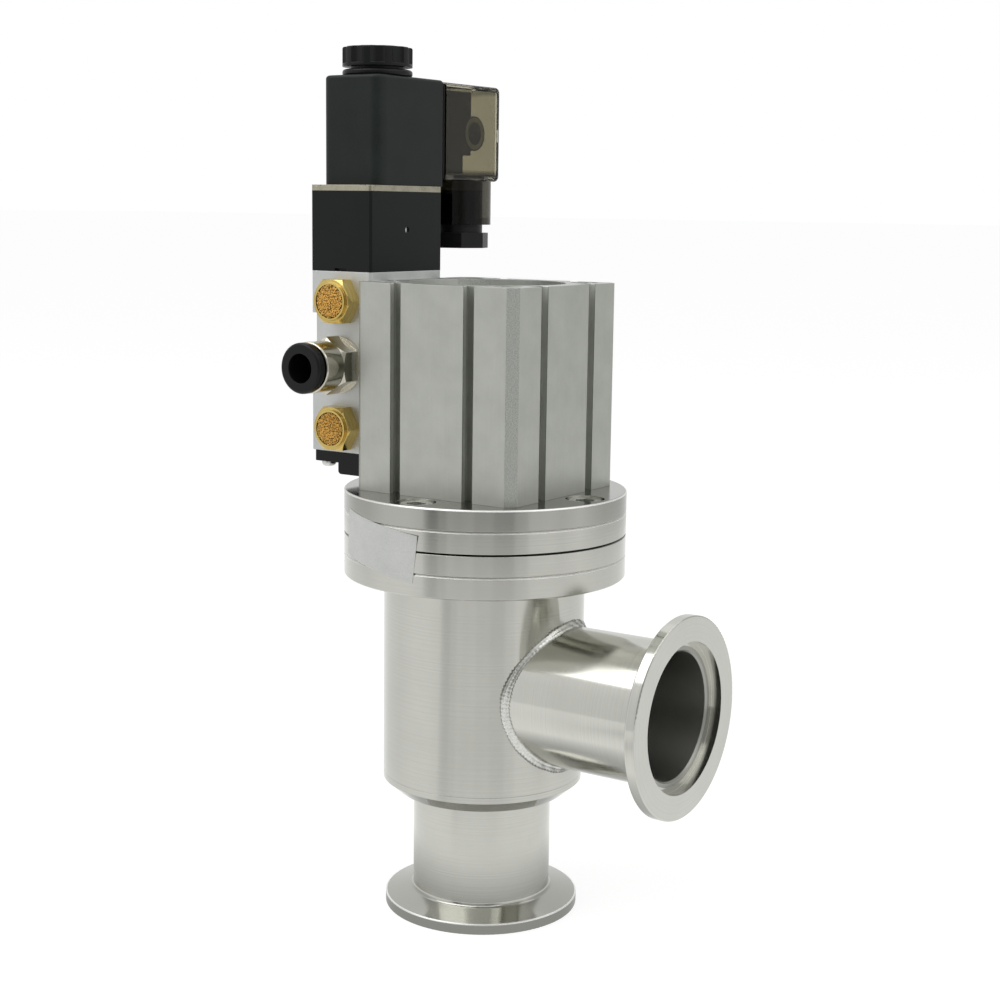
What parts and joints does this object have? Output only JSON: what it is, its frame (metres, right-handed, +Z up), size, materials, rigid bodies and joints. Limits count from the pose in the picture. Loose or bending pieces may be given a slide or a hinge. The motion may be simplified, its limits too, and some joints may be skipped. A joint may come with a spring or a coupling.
{
  "type": "vacuum angle valve",
  "caption": "Right-angle vacuum valve with clamp flange ends, bellows-sealed disc, square air cylinder and a side-mounted solenoid valve with silencers.",
  "frame": {"origin": "centre of the inlet flange's face, at the bottom", "axes": "+Z up along the valve's own axis, +X out of the side port, the solenoid valve on the -X face with its ports towards -Y"},
  "size_m": [0.1126, 0.0865, 0.2414],
  "materials": {
    "stainless": "satin, turned",
    "screw_steel": "satin",
    "plated_steel": "satin, pale zinc",
    "anodised": "matt, hard anodised",
    "bead_blasted": "matt, blasted and clear anodised",
    "bare_aluminium": "turned",
    "brass": "turned",
    "bronze": "sintered",
    "nickel": "plated",
    "rubber": "matt",
    "black_plastic": "moulded",
    "coil_resin": "moulded",
    "pilot_plastic": "moulded",
    "smoky_plastic": "clear, smoke grey",
    "label_paper": "blank paper seal"
  },
  "bodies": {
    "housing": {"valve_body": "stainless", "body_foot": "stainless", "inlet_stub": "stainless", "outlet_stub": "stainless", "outlet_weld": "stainless", "body_flange": "stainless", "bonnet_flange": "stainless", "rod_guide": "stainless", "bellows_ring": "stainless", "bellows": "stainless", "flange_screws": "screw_steel", "cylinder_screws": "screw_steel", "retaining_ring": "screw_steel", "mounting_screws": "screw_steel", "slot_nuts": "screw_steel", "spool_spring": "screw_steel", "cover_screws": "screw_steel", "core_tube": "screw_steel", "plunger_spring": "screw_steel", "connector_screw": "screw_steel", "pilot_plate": "plated_steel", "plate_screws": "plated_steel", "cylinder_body": "anodised", "end_cap": "anodised", "valve_block": "bead_blasted", "upper_silencer": "brass", "lower_silencer": "brass", "silencer_discs": "bronze", "rod_bush": "bronze", "fitting_body": "nickel", "flange_seal": "rubber", "rod_seal": "rubber", "cylinder_base_seal": "rubber", "end_cap_seal": "rubber", "port_seals": "rubber", "connector_gasket": "rubber", "gland_grommet": "rubber", "fitting_seal": "rubber", "spool_cover": "black_plastic", "coil_washer": "black_plastic", "coil_nut": "black_plastic", "terminal_block": "black_plastic", "gland_nut": "black_plastic", "coil": "coil_resin", "pilot_body": "pilot_plastic", "connector_housing": "smoky_plastic", "seal_label": "label_paper"},
    "valve_plug": {"stem": "stainless", "valve_disc": "stainless", "disc_seal": "rubber", "disc_screw": "screw_steel", "piston": "bare_aluminium", "piston_seal": "rubber", "piston_nut": "screw_steel"},
    "spool_slide": {"spool": "bare_aluminium", "spool_seals": "rubber", "pilot_piston": "bare_aluminium"},
    "plunger_slide": {"plunger": "screw_steel"},
    "override_button": {"override_pin": "screw_steel"},
    "collar_slide": {"release_collar": "black_plastic"}
  },
  "joints": [
    {"name": "valve_stroke", "type": "slide", "parent": "housing", "child": "valve_plug", "axis": [0, 0, 1], "range_m": [0, 0.02], "deforming": ["bellows"]},
    {"name": "spool_shift", "type": "slide", "parent": "housing", "child": "spool_slide", "axis": [0, 0, -1], "range_m": [0, 0.0036], "stiffness_N_per_m": 1500, "springref_m": -0.0033, "deforming": ["spool_spring"]},
    {"name": "plunger_lift", "type": "slide", "parent": "housing", "child": "plunger_slide", "axis": [0, 0, 1], "range_m": [0, 0.0015], "stiffness_N_per_m": 500, "springref_m": -0.004, "deforming": ["plunger_spring"]},
    {"name": "override_press", "type": "slide", "parent": "housing", "child": "override_button", "axis": [-1, 0, 0], "range_m": [0, 0.001], "stiffness_N_per_m": 300, "springref_m": -0.001},
    {"name": "collar_press", "type": "slide", "parent": "housing", "child": "collar_slide", "axis": [0, 1, 0], "range_m": [0, 0.001]}
  ]
}
